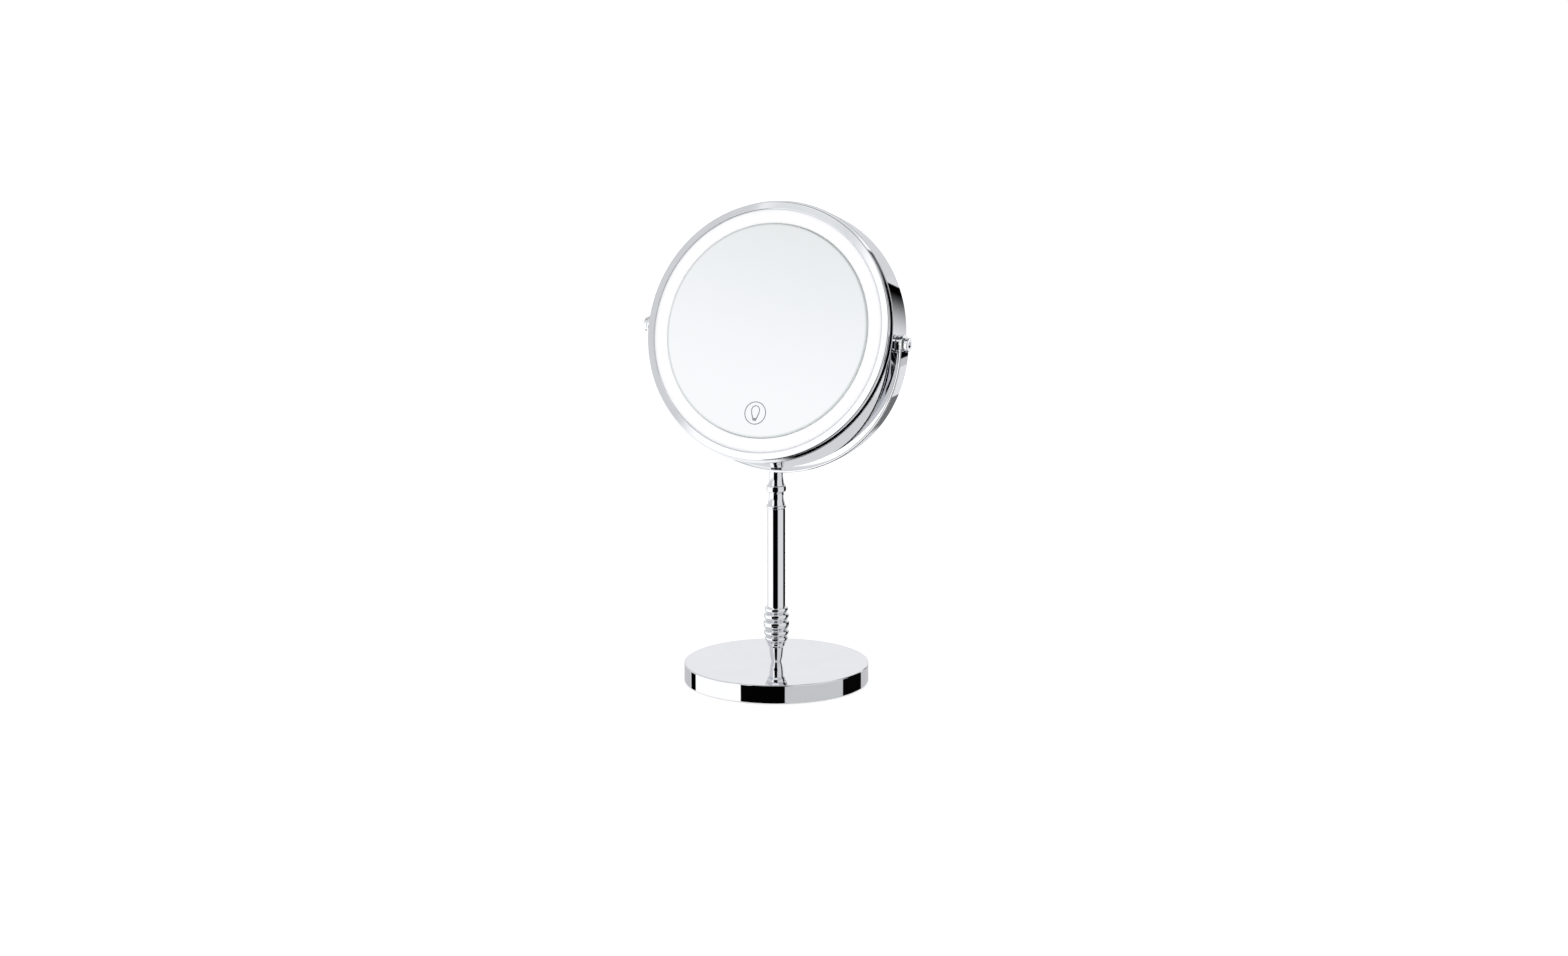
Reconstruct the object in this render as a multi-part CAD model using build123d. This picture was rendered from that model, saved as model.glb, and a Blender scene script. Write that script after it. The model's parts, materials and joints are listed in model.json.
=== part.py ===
from build123d import *

import os
from math import cos, radians, sin, sqrt

# A lighted vanity mirror on a stand. The round head has a plain mirror with a ring of light on its front and
# a concave magnifying mirror on its back, and turns right over between the two eyes of a yoke.
#
# Millimetres and degrees. The origin is the centre of the base's underside, +Z is up, the user sits at -Y and
# X runs along the line through the two pivots. The head is drawn upright about its own centre, its front face
# towards -Y, and is then leaned back about the pivot line by rest_tilt.

# ---- Overall sizes ----
head_radius = 103.2  # outside of the drum's side
base_radius = 73.0
base_height = 15.3
tube_length = 80.0
rest_tilt = 18.5

# ---- Fits and clearances ----
slip = 0.1  # all round, between moulded parts that push together
seat_gap = 0.2  # between parts that lie beside each other
thread_gap = 0.05  # all round, between a screw and its hole
run_gap = 0.05  # all round, between the pivot's shoulder and the yoke's eye
bolt_gap = 0.2  # all round, between a screw and a clearance hole
bush_gap = 0.55  # along the pivot line, from the bush to the middle of the yoke's inner face
washer_gap = 0.35  # along the pivot line, from the yoke's outer face to the washer

# ---- Base ----
base_skin = 1.0
base_edge_round = 0.9
base_foot_round = 0.3
cover_lift = 0.8  # the cover's rim stays this far above the table
pad_thickness = 2.0
pad_inset = 2.4
plate_thickness = 2.0
plate_boss_radius = 4.5
weight_thickness = 8.3
weight_inset = 3.0
weight_pocket_radius = 9.0
weight_pocket_depth = 5.0
base_screw_ring = 48.0
base_screw_count = 3
base_screw_length = 7.5

# ---- Screws, by thread ----
m3_radius = 1.5
m3_head_radius = 2.9
m3_head_height = 1.7
m25_radius = 1.25
m25_head_radius = 2.3
m25_head_height = 1.6
drive_width = 0.45  # of a pan head's radius
drive_depth = 0.5  # of a pan head's height

# ---- Tie rod through the stem ----
rod_radius = 2.5
rod_tail = 1.0  # thread below the nut
rod_grip = 9.0  # thread held in the neck
nut_flats = 8.0
nut_height = 4.0
washer_radius = 6.0
washer_height = 1.0

# ---- Turned pieces of the stem, from the base up ----
foot_height = 12.2
foot_bottom_radius = 3.9
foot_top_radius = 5.55
foot_swell = 0.5  # how far the foot's side bows out
ring_heights = (3.9, 4.7, 5.1, 7.5, 6.1, 5.2)
ring_radii = (7.1, 8.9, 9.85, 10.15, 9.7, 9.1)  # round each ring's top
ring_waists = (6.0, 7.4, 8.0, 8.2, 7.9, 7.5)  # at each ring's bottom
ring_slope = 0.45  # share of a ring's height over which it widens upwards
ring_bulge = 0.5  # rounding above the slope, as a share of the ring's height
ring_edge_round = 0.8
tube_radius = 7.0
tube_wall = 1.2
spigot_length = 6.0  # of the turned pieces into the tube's ends
neck_ring_height = 3.0
neck_ring_radius = 7.8
neck_waist_height = 10.5
neck_waist_radius = 5.85
neck_shoulder_radius = 7.0
neck_hollow = 0.45  # how far the waist's side is hollowed
neck_edge_round = 1.1  # of the ring and the collar
neck_collar_height = 5.3
neck_collar_radius = 7.7
bell_height = 11.5
bell_foot_radius = 6.6
bell_radius = 5.4
bell_hollow = 0.45  # how far the bell's side is hollowed

# ---- Yoke ----
yoke_gap = 3.4  # from the drum's side to the yoke's inner face
yoke_thickness = 2.0
yoke_width = 15.5
yoke_edge_round = 0.6
yoke_screw_radius = 2.5
yoke_screw_head_radius = 4.2
yoke_screw_head_height = 1.5
yoke_screw_grip = 7.0  # thread held in the neck

# ---- Drum: side, bezels and inner frame ----
band_wall = 2.4
band_edge_round = 0.5
bezel_step = 1.5  # the drum's side stands this far outside the bezels
bezel_width = 6.0
bezel_setback = 0.6  # bezel face behind the glass face
bezel_lip = 1.6
bezel_cap = 6.6  # from the glass face to the seam with the drum's side
bezel_fall = 0.75  # the bezel's face slopes back this far towards its outer edge
bezel_round = 1.0
bezel_inner_round = 0.5
bezel_skirt = 1.8
bead_height = 0.3
bead_width = 1.2
bead_offset = 2.9  # from the seam to the middle of the snap bead
frame_half_width = 6.2
frame_wall = 4.0
lug_angles = (60, 120, 240, 300)
lug_width = 11.0
lug_reach = 6.0  # past the middle of the front screw
boss_depth = 14.0
boss_height = 18.0

# ---- Light ring, front glass and their carrier ----
light_width = 11.7
light_setback = 1.2
light_round = 0.7
glass_gap = 0.4
glass_thickness = 3.0
glass_bevel = 0.6
tape_thickness = 0.6
tape_inset = 2.0
carrier_plate = 2.0
carrier_wall = 2.0
channel_floor = 1.8
post_inset = 12.2  # from the channel to the middle of a post
post_radius = 4.0
front_screw_depth = 8.0  # thread held in a lug
led_board_thickness = 1.2
led_board_gap = 0.9
led_count = 60
led_size = (2.8, 0.8, 3.5)

# ---- Touch key ----
touch_inset = 19.0  # from the glass's edge to the middle of the key
touch_hole_radius = 11.5
touch_pad_radius = 10.0
touch_pad_thickness = 1.0
icon_radius = 8.7
icon_line = 0.7
icon_thickness = 0.12
lamp_radius = 3.3
lamp_neck = 1.0
lamp_height = 11.4
lamp_cap = 1.8
lamp_taper = 0.25  # sideways run of the bulb's outline at its foot, for each millimetre down

# ---- Back mirror ----
rear_glass_thickness = 2.5
rear_tape_thickness = 0.5
rear_tape_width = 4.0
rear_rim_inset = 1.0
rear_plate = 1.4
rear_screw_inset = 9.5  # from the frame's wall to the middle of a back screw
rear_screw_depth = 8.0
rear_pad_gap = 0.1  # from the plate to the middle of the back mirror

# ---- Cell, circuit board and socket ----
cell_radius = 9.15
cell_length = 65.0
cell_drop = 20.0
cell_gap = 1.2  # from the cell to the back carrier
cell_edge_round = 0.5
tray_wall = 1.2
tray_gap = 0.25
tray_notch = 3.0  # half the width of the notch for the wires
board_angle = 150
board_length = 44.0
board_depth = 25.0
board_thickness = 1.6
board_standoff = 3.0
board_standoff_radius = 2.6
board_hole_inset = 3.6
board_part_sizes = (  # place from the inner edge and from the middle, length, width, height
    (7.0, -1.0, 6.0, 6.0, 1.2),
    (7.5, 8.0, 5.0, 4.0, 1.4),
    (15.0, 9.5, 6.0, 6.0, 3.0),
    (15.5, -10.0, 3.0, 5.0, 1.8),
    (8.0, -9.5, 2.0, 3.2, 0.9),
    (11.5, 3.5, 2.0, 1.2, 0.8),
)
socket_width = 8.95
socket_height = 3.2
socket_depth = 7.3
socket_wall = 0.35
socket_back = 1.0  # closed end of the socket's shell
tongue_width = 6.0
tongue_setback = 1.0  # the tongue's tip behind the socket's mouth
socket_recess = 1.4  # the socket's mouth behind the drum's side

# ---- Wires ----
lead_radius = 0.7
lead_bend = 4.0
pad_inset = 3.0  # from the circuit board's inner edge to the wires' joints
cell_pads = (-0.5, 6.5)  # along the board's inner edge
cell_lead_step = 1.6  # either side of the cell's axis
cell_lead_reach = (9.0, 5.0)  # out past the cell's end
led_lead_turns = (9.0, 11.0)  # degrees past the circuit board's middle
touch_lead_pad = 14.0  # along the board's inner edge
touch_lead_gap = 2.5  # from the front carrier's back
touch_lead_reach = 14.0  # out past the cell's end
touch_lead_drop = 12.0  # below the cell's axis

# ---- Pivot hardware ----
shoulder_radius = 3.0
pivot_thread_radius = 2.0
pivot_thread_length = 10.0
insert_wall = 0.5  # the insert's outside beyond the bolt's shoulder
insert_length = 12.0
insert_setback = 3.0  # the insert's face behind the boss's face
neck_wall = 1.5  # round the insert, where the boss passes through the drum's side
neck_proud = 0.3
bush_radius = 7.0
bush_bore_edge = 0.4
washer_thickness = 0.6
pivot_washer_radius = 5.0
bolt_head_radius = 5.6
bolt_head_height = 2.9
bolt_head_round = 0.6
hex_flats = 5.0
hex_depth = 2.0

# ---- Radii that follow, from the outside in ----
band_inner = head_radius - band_wall
bezel_radius = head_radius - bezel_step
skirt_radius = band_inner - slip
skirt_inner = skirt_radius - bezel_skirt
light_radius = bezel_radius - bezel_width
glass_radius = light_radius - light_width
frame_radius = band_inner - slip
frame_inner = frame_radius - frame_wall
carrier_radius = skirt_inner - seat_gap
channel_outer = carrier_radius - carrier_wall
channel_inner = glass_radius + seat_gap + carrier_wall
post_ring = channel_inner - post_inset
led_ring = (channel_outer + channel_inner) / 2
touch_drop = glass_radius - touch_inset
yoke_inner = head_radius + yoke_gap
yoke_outer = yoke_inner + yoke_thickness
rear_radius = skirt_inner - seat_gap
insert_radius = shoulder_radius + insert_wall
neck_radius = insert_radius + neck_wall

# ---- Depths that follow, counted from the middle of the drum towards a face ----
cell_depth = cell_radius + cell_gap - frame_half_width
carrier_back = cell_depth + cell_radius + tray_wall
carrier_face = carrier_back + carrier_plate
glass_back = carrier_face + tape_thickness
half_depth = glass_back + glass_thickness
bezel_face = half_depth - bezel_setback
lip_back = bezel_face - bezel_lip
light_face = half_depth - light_setback
band_half = half_depth - bezel_cap
channel_face = frame_half_width + channel_floor
led_board_face = channel_face + led_board_thickness
rear_rim = lip_back - seat_gap
rear_floor = frame_half_width + rear_plate
rear_sag = rear_rim - rear_glass_thickness - rear_pad_gap - rear_floor
rear_curve = (rear_radius**2 + rear_sag**2) / (2 * rear_sag)
board_back = frame_half_width - board_standoff  # behind the middle
board_face = board_back - board_thickness
socket_depth_place = board_face - socket_height / 2
neck_face = head_radius + neck_proud
washer_face = yoke_outer + washer_gap
bolt_face = washer_face + washer_thickness
insert_face = neck_face - insert_setback

# ---- Heights that follow, from the table up ----
plate_top = pad_thickness + plate_thickness
cover_under = base_height - base_skin
weight_bottom = cover_under - weight_thickness
pocket_top = weight_bottom + weight_pocket_depth
nut_top = pocket_top - washer_height
beehive_bottom = base_height + foot_height
tube_bottom = beehive_bottom + sum(ring_heights)
tube_top = tube_bottom + tube_length
waist_bottom = tube_top + neck_ring_height
collar_bottom = waist_bottom + neck_waist_height
bell_bottom = collar_bottom + neck_collar_height
bell_top = bell_bottom + bell_height
pivot_height = bell_top + yoke_outer

FRONT = -1
REAR = 1


# ---- Shape helpers ----
def section(corners):
    """A closed section from (radius, height, rounding) corners."""
    points = [(radius, height) for radius, height, _ in corners]
    rounds = [rounding for _, _, rounding in corners]
    return make_face(FilletPolyline(*points, radius=rounds, close=True))


def ring(corners, side=REAR):
    """A solid of revolution about Y, from (radius, depth, rounding) corners towards one face of the head."""
    return revolve(section([(radius, side * depth, r) for radius, depth, r in corners]), Axis.Y)


def flat_ring(outer, inner, low, high, side=REAR):
    """A plain washer about Y between two depths."""
    corners = [(outer, low, 0), (outer, high, 0), (inner, high, 0), (inner, low, 0)]
    return ring(corners, side)


def rod(radius, start, end):
    """A round rod between two points."""
    path = Vector(*end) - Vector(*start)
    place = Plane(origin=start, z_dir=path)
    return place * Cylinder(radius, path.length, align=(Align.CENTER, Align.CENTER, Align.MIN))


def block(low, high):
    """A box between two opposite corners."""
    size = [b - a for a, b in zip(low, high)]
    middle = [(a + b) / 2 for a, b in zip(low, high)]
    return Pos(*middle) * Box(*size)


def at(radius, angle, y):
    """A point at a radius and angle round the head, the angle counted from +X towards +Z."""
    return (radius * cos(radians(angle)), y, radius * sin(radians(angle)))


def turned(wire_edges):
    """A solid of revolution about Z from edges drawn with X as the radius and Y as the height."""
    return Rot(90, 0, 0) * revolve(make_face(wire_edges), Axis.Y)


def lead(points):
    """A wire of round section along straight runs and bends."""
    path = FilletPolyline(*points, radius=lead_bend)
    return sweep(Plane(origin=path @ 0, z_dir=path % 0) * Circle(lead_radius), path=path)


def group(solids):
    """Separate solids in one node."""
    return Compound(children=list(solids))


def pan_screw(tip, head, radius, head_radius, head_height):
    """A pan-head screw whose shank runs from its tip to the underside of its head."""
    along = (Vector(*head) - Vector(*tip)).normalized()
    crown = Vector(*head) + along * head_height
    screw = rod(radius, tip, head) + rod(head_radius, head, tuple(crown))
    drive_floor = crown - along * head_height * drive_depth
    drive = rod(head_radius * drive_width, tuple(drive_floor), tuple(crown + along))
    return screw - drive


def both_sides(solid):
    """A solid on the right of the head and its mirror image on the left."""
    return group([solid, mirror(solid, about=Plane.YZ)])


# ---- Base ----
def base_cover():
    inner = base_radius - base_skin
    hole = rod_radius + bolt_gap
    corners = [
        (hole, base_height, 0),
        (base_radius, base_height, base_edge_round),
        (base_radius, cover_lift, base_foot_round),
        (inner, cover_lift, base_foot_round),
        (inner, cover_under, 0),
        (hole, cover_under, 0),
    ]
    return Rot(90, 0, 0) * revolve(section(corners), Axis.Y)


def base_screw_spots():
    step = 360 / base_screw_count
    for index in range(base_screw_count):
        angle = radians(90 + index * step)
        yield base_screw_ring * cos(angle), base_screw_ring * sin(angle)


def base_weight():
    disc = rod(base_radius - weight_inset, (0, 0, weight_bottom), (0, 0, cover_under))
    disc -= rod(rod_radius + bolt_gap, (0, 0, 0), (0, 0, base_height))
    disc -= rod(weight_pocket_radius, (0, 0, 0), (0, 0, pocket_top))
    tip = plate_top - plate_thickness + base_screw_length
    for x, y in base_screw_spots():
        disc -= rod(m3_radius + thread_gap, (x, y, 0), (x, y, tip + seat_gap))
    return disc


def base_plate():
    radius = base_radius - base_skin - seat_gap
    plate = rod(radius, (0, 0, pad_thickness), (0, 0, plate_top))
    for x, y in base_screw_spots():
        plate += rod(plate_boss_radius, (x, y, pad_thickness), (x, y, weight_bottom))
    for x, y in base_screw_spots():
        plate -= rod(m3_radius + bolt_gap, (x, y, 0), (x, y, base_height))
        plate -= rod(m3_head_radius + bolt_gap, (x, y, 0), (x, y, pad_thickness + m3_head_height))
    return plate


def base_pad():
    return rod(base_radius - pad_inset, (0, 0, 0), (0, 0, pad_thickness))


def base_screws():
    head = pad_thickness + m3_head_height
    tip = plate_top - plate_thickness + base_screw_length
    return group(
        pan_screw((x, y, tip), (x, y, head), m3_radius, m3_head_radius, m3_head_height)
        for x, y in base_screw_spots()
    )


# ---- Stem ----
def tie_rod():
    bottom = nut_top - nut_height - rod_tail
    return rod(rod_radius, (0, 0, bottom), (0, 0, tube_top - spigot_length + rod_grip))


def tie_rod_washer():
    washer = rod(washer_radius, (0, 0, nut_top), (0, 0, pocket_top))
    return washer - rod(rod_radius + thread_gap, (0, 0, 0), (0, 0, base_height))


def tie_rod_nut():
    hexagon = RegularPolygon(nut_flats / 2, 6, major_radius=False) - Circle(rod_radius + thread_gap)
    return Pos(0, 0, nut_top - nut_height) * extrude(hexagon, nut_height)


def rod_bore(bottom, top):
    return rod(rod_radius + bolt_gap, (0, 0, bottom), (0, 0, top))


def stem_foot():
    middle = (foot_bottom_radius + foot_top_radius) / 2 + foot_swell
    side = ThreePointArc(
        (foot_bottom_radius, base_height),
        (middle, base_height + foot_height / 2),
        (foot_top_radius, beehive_bottom),
    )
    outline = side + Polyline(side @ 1, (0, beehive_bottom), (0, base_height), side @ 0)
    return turned(outline) - rod_bore(base_height, beehive_bottom)


def stem_beehive():
    """Six cup-shaped rings, one above the other, with a spigot for the tube on top."""
    spigot = tube_radius - tube_wall - slip
    beehive = rod(spigot, (0, 0, beehive_bottom), (0, 0, tube_bottom + spigot_length))
    low = beehive_bottom
    for waist, radius, ring_height in zip(ring_waists, ring_radii, ring_heights):
        high = low + ring_height
        corners = [
            (0, low, 0),
            (waist, low, 0),
            (radius, low + ring_slope * ring_height, ring_bulge * ring_height),
            (radius, high, ring_edge_round),
            (0, high, 0),
        ]
        beehive += Rot(90, 0, 0) * revolve(section(corners), Axis.Y)
        low = high
    return beehive - rod_bore(beehive_bottom, low + spigot_length)


def stem_tube():
    tube = rod(tube_radius, (0, 0, tube_bottom), (0, 0, tube_top))
    return tube - rod(tube_radius - tube_wall, (0, 0, tube_bottom), (0, 0, tube_top))


def stem_neck():
    """Thin ring, hollow waist and collar, with a threaded hole at each end."""
    spigot = tube_radius - tube_wall - slip
    bottom = tube_top - spigot_length
    middle = (neck_shoulder_radius + neck_waist_radius) / 2 - neck_hollow
    waist = ThreePointArc(
        (neck_shoulder_radius, waist_bottom),
        (middle, waist_bottom + neck_waist_height / 2),
        (neck_waist_radius, collar_bottom),
    )
    neck = turned(waist + Polyline(waist @ 1, (0, collar_bottom), (0, waist_bottom), waist @ 0))
    ring_corners = [
        (0, tube_top, 0),
        (neck_ring_radius, tube_top, neck_edge_round),
        (neck_ring_radius, waist_bottom, neck_edge_round),
        (0, waist_bottom, 0),
    ]
    collar_corners = [
        (0, collar_bottom, 0),
        (neck_collar_radius, collar_bottom, neck_edge_round),
        (neck_collar_radius, bell_bottom, neck_edge_round),
        (0, bell_bottom, 0),
    ]
    for corners in (ring_corners, collar_corners):
        neck += Rot(90, 0, 0) * revolve(section(corners), Axis.Y)
    neck += rod(spigot, (0, 0, bottom), (0, 0, tube_top))
    neck -= rod(rod_radius + thread_gap, (0, 0, bottom), (0, 0, bottom + rod_grip + seat_gap))
    screw_bottom = bell_bottom - yoke_screw_grip - seat_gap
    return neck - rod(yoke_screw_radius + thread_gap, (0, 0, screw_bottom), (0, 0, bell_bottom))


def stem_bell():
    """The turned piece under the yoke, hollowed on top to the yoke's curve."""
    top = bell_top + bell_radius**2 / yoke_outer
    flare = ThreePointArc(
        (bell_foot_radius, bell_bottom),
        ((bell_foot_radius + bell_radius) / 2 - bell_hollow, (bell_bottom + top) / 2),
        (bell_radius, top),
    )
    outline = flare + Polyline(flare @ 1, (0, top), (0, bell_bottom), flare @ 0)
    bell = turned(outline)
    bell -= rod(yoke_outer, (0, -yoke_width, pivot_height), (0, yoke_width, pivot_height))
    return bell - rod(yoke_screw_radius + bolt_gap, (0, 0, bell_bottom), (0, 0, pivot_height))


# ---- Yoke ----
def yoke():
    half = yoke_width / 2
    corners = [
        (yoke_inner, -half, yoke_edge_round),
        (yoke_outer, -half, yoke_edge_round),
        (yoke_outer, half, yoke_edge_round),
        (yoke_inner, half, yoke_edge_round),
    ]
    reach = yoke_outer + yoke_width
    lower = block((-reach, -half, -reach), (reach, half, 0))
    eyes = rod(half, (-reach, 0, 0), (reach, 0, 0))
    strip = ring(corners) & (lower + eyes)
    strip -= rod(shoulder_radius + run_gap, (-reach, 0, 0), (reach, 0, 0))
    strip -= rod(yoke_screw_radius + bolt_gap, (0, 0, -reach), (0, 0, 0))
    return Pos(0, 0, pivot_height) * strip


def yoke_screw():
    seat = pivot_height - yoke_inner
    tip = bell_bottom - yoke_screw_grip
    screw = pan_screw(
        (0, 0, tip), (0, 0, seat), yoke_screw_radius, yoke_screw_head_radius, yoke_screw_head_height
    )
    bowl = rod(yoke_inner, (0, -yoke_width, pivot_height), (0, yoke_width, pivot_height))
    shank = rod(yoke_screw_radius, (0, 0, tip), (0, 0, seat + yoke_screw_head_height / 3))
    return (screw & bowl) + shank


# ---- Drum ----
def drum_band():
    groove = bead_width / 2 + slip
    middle = band_half - bead_offset
    depth = band_inner + bead_height + slip / 2
    corners = [
        (head_radius, -band_half, band_edge_round),
        (head_radius, band_half, band_edge_round),
        (band_inner, band_half, 0),
        (band_inner, middle + groove, 0),
        (depth, middle + groove / 2, 0),
        (depth, middle - groove / 2, 0),
        (band_inner, middle - groove, 0),
        (band_inner, groove - middle, 0),
        (depth, groove / 2 - middle, 0),
        (depth, -groove / 2 - middle, 0),
        (band_inner, -groove - middle, 0),
        (band_inner, -band_half, 0),
    ]
    band = ring(corners)
    reach = head_radius + band_wall
    band -= rod(neck_radius + slip, (-reach, 0, 0), (reach, 0, 0))
    return band - Rot(0, -board_angle, 0) * socket_slot(slip)


def bezel(side):
    """A cap ring whose skirt snaps into the drum's side."""
    middle = band_half - bead_offset
    crest = skirt_radius + bead_height
    corners = [
        (light_radius, bezel_face, bezel_inner_round),
        (bezel_radius, bezel_face - bezel_fall, bezel_round),
        (bezel_radius, band_half, 0),
        (skirt_radius, band_half, 0),
        (skirt_radius, middle + bead_width / 2, 0),
        (crest, middle + bead_width / 4, 0),
        (crest, middle - bead_width / 4, 0),
        (skirt_radius, middle - bead_width / 2, 0),
        (skirt_radius, frame_half_width + seat_gap, 0),
        (skirt_inner, frame_half_width + seat_gap, 0),
        (skirt_inner, lip_back, 0),
        (light_radius, lip_back, 0),
    ]
    return ring(corners, side)


def socket_slot(gap):
    """The round-ended slot that the charging socket looks out of, drawn on the right of the head."""
    width = socket_width + 2 * (gap + socket_wall)
    height = socket_height + 2 * (gap + socket_wall)
    outline = Plane.YZ * Rot(0, 0, 90) * SlotOverall(width, height)
    depth = 2 * socket_depth
    return Pos(head_radius - depth + band_wall, socket_depth_place, 0) * extrude(outline, depth)


def inner_frame():
    """Moulded ring that carries the pivots, with four lugs for the carriers' screws."""
    frame = flat_ring(frame_radius, frame_inner, -frame_half_width, frame_half_width)
    lug_start = post_ring - lug_reach
    lug = block(
        (lug_start, -frame_half_width, -lug_width / 2),
        (frame_inner + frame_wall / 2, frame_half_width, lug_width / 2),
    )
    for angle in lug_angles:
        frame += Rot(0, -angle, 0) * lug
    boss = block(
        (frame_inner - boss_depth + frame_wall, -frame_half_width, -boss_height / 2),
        (frame_inner + frame_wall / 2, frame_half_width, boss_height / 2),
    )
    frame += boss + mirror(boss, about=Plane.YZ)
    frame += rod(neck_radius, (frame_inner, 0, 0), (neck_face, 0, 0))
    frame += rod(neck_radius, (-frame_inner, 0, 0), (-neck_face, 0, 0))
    pocket = rod(insert_radius, (insert_face - insert_length, 0, 0), (neck_face + slip, 0, 0))
    frame -= pocket + mirror(pocket, about=Plane.YZ)
    for angle in lug_angles:
        start = at(post_ring, angle, -frame_half_width)
        end = at(post_ring, angle, front_screw_depth + seat_gap - frame_half_width)
        frame -= rod(m3_radius + thread_gap, start, end)
        start = at(rear_screw_ring(), angle, frame_half_width)
        end = at(rear_screw_ring(), angle, frame_half_width - rear_screw_depth - seat_gap)
        frame -= rod(m3_radius + thread_gap, start, end)
    return frame - Rot(0, -board_angle, 0) * socket_slot(seat_gap)


def rear_screw_ring():
    return frame_inner - rear_screw_inset


# ---- Pivots ----
def pivot_inserts():
    insert = rod(insert_radius, (insert_face - insert_length, 0, 0), (insert_face, 0, 0))
    bore = rod(pivot_thread_radius + thread_gap, (0, 0, 0), (head_radius, 0, 0))
    return both_sides(insert - bore)


def pivot_bushes():
    low = neck_face
    high = yoke_inner - bush_gap
    corners = [
        (shoulder_radius + run_gap, low, 0),
        (bush_radius, low, bush_bore_edge),
        (bush_radius, high, bush_bore_edge),
        (shoulder_radius + run_gap, high, 0),
    ]
    bush = Rot(0, 0, -90) * revolve(section(corners), Axis.Y)
    return both_sides(bush)


def pivot_washers():
    washer = rod(pivot_washer_radius, (washer_face, 0, 0), (bolt_face, 0, 0))
    return both_sides(washer - rod(shoulder_radius + run_gap, (0, 0, 0), (2 * bolt_face, 0, 0)))


def pivot_bolts():
    """Shoulder bolts: round head with a hexagon recess, plain shoulder, thread into the insert."""
    end = bolt_face + bolt_head_height
    corners = [
        (0, insert_face - pivot_thread_length, 0),
        (pivot_thread_radius, insert_face - pivot_thread_length, 0),
        (pivot_thread_radius, insert_face, 0),
        (shoulder_radius, insert_face, 0),
        (shoulder_radius, bolt_face, 0),
        (bolt_head_radius, bolt_face, bolt_head_round / 2),
        (bolt_head_radius, end, bolt_head_round),
        (0, end, 0),
    ]
    bolt = Rot(0, 0, -90) * revolve(section(corners), Axis.Y)
    hexagon = Plane.YZ * RegularPolygon(hex_flats / 2, 6, major_radius=False)
    bolt -= Pos(end - hex_depth, 0, 0) * extrude(hexagon, 2 * hex_depth)
    return both_sides(bolt)


# ---- Front of the head ----
def front_carrier():
    """Plate with the channel for the lights round its edge and four posts on its back."""
    back = frame_half_width
    corners = [
        (0, carrier_face, 0),
        (channel_inner, carrier_face, 0),
        (channel_inner, channel_face, 0),
        (channel_outer, channel_face, 0),
        (channel_outer, carrier_face, 0),
        (carrier_radius, carrier_face, 0),
        (carrier_radius, back, 0),
        (channel_inner - carrier_wall, back, 0),
        (channel_inner - carrier_wall, carrier_back, 0),
        (0, carrier_back, 0),
    ]
    carrier = ring(corners, FRONT)
    for angle in lug_angles:
        carrier += rod(post_radius, at(post_ring, angle, -carrier_face), at(post_ring, angle, -back))
    for angle in lug_angles:
        carrier -= rod(m3_radius + bolt_gap, at(post_ring, angle, -half_depth), at(post_ring, angle, 0))
        sink = at(post_ring, angle, m3_head_height + slip - carrier_face)
        carrier -= rod(m3_head_radius + bolt_gap, at(post_ring, angle, -half_depth), sink)
    key = (0, 0, -touch_drop)
    carrier -= rod(touch_hole_radius, (0, -half_depth, key[2]), (0, 0, key[2]))
    for point in led_lead_spots():
        carrier -= rod(lead_radius + bolt_gap, (point[0], -channel_face, point[2]), (point[0], 0, point[2]))
    return carrier


def light_ring():
    """Opal ring: its middle stands up through the bezel and its flange lies under the bezel's lip."""
    corners = [
        (glass_radius + glass_gap, light_face, light_round),
        (light_radius - seat_gap, light_face, light_round / 2),
        (light_radius - seat_gap, lip_back, 0),
        (carrier_radius, lip_back, 0),
        (carrier_radius, carrier_face, 0),
        (glass_radius + glass_gap, carrier_face, 0),
    ]
    return ring(corners, FRONT)


def front_glass():
    corners = [
        (0, half_depth, 0),
        (glass_radius - glass_bevel, half_depth, 0),
        (glass_radius, half_depth - glass_bevel, 0),
        (glass_radius, glass_back, 0),
        (0, glass_back, 0),
    ]
    return ring(corners, FRONT)


def front_glass_tape():
    tape = rod(glass_radius - tape_inset, (0, -glass_back, 0), (0, -carrier_face, 0))
    key = -touch_drop
    return tape - rod(touch_hole_radius, (0, -half_depth, key), (0, 0, key))


def front_screws():
    head_base = m3_head_height - carrier_face
    solids = []
    for angle in lug_angles:
        tip = at(post_ring, angle, front_screw_depth - frame_half_width)
        seat = at(post_ring, angle, head_base)
        solids.append(pan_screw(tip, seat, m3_radius, m3_head_radius, m3_head_height - slip))
    return group(solids)


def led_board():
    gap = led_board_gap
    return flat_ring(channel_outer - gap, channel_inner + gap, channel_face, led_board_face, FRONT)


def led_chips():
    radial, thick, along = led_size
    chip = block(
        (led_ring - radial / 2, -led_board_face - thick, -along / 2),
        (led_ring + radial / 2, -led_board_face, along / 2),
    )
    return group(Rot(0, 360 * index / led_count, 0) * chip for index in range(led_count))


# ---- Touch key ----
def touch_pad():
    key = -touch_drop
    return rod(touch_pad_radius, (0, -glass_back, key), (0, touch_pad_thickness - glass_back, key))


def lamp_outline(grow):
    """A lamp's outline seen from the front: a round bulb that tapers to a narrow foot."""
    bulb = lamp_radius + grow
    neck = lamp_neck + grow
    top = lamp_height / 2 + grow
    bottom = -lamp_height / 2 - grow
    middle = lamp_height / 2 - lamp_radius
    crown = ThreePointArc((-bulb, middle), (0, top), (bulb, middle))
    right = Spline((bulb, middle), (neck, bottom), tangents=((0, -1), (-lamp_taper, -1)))
    left = Spline((-neck, bottom), (-bulb, middle), tangents=((-lamp_taper, 1), (0, 1)))
    return make_face(crown + right + Line(right @ 1, left @ 0) + left)


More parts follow.
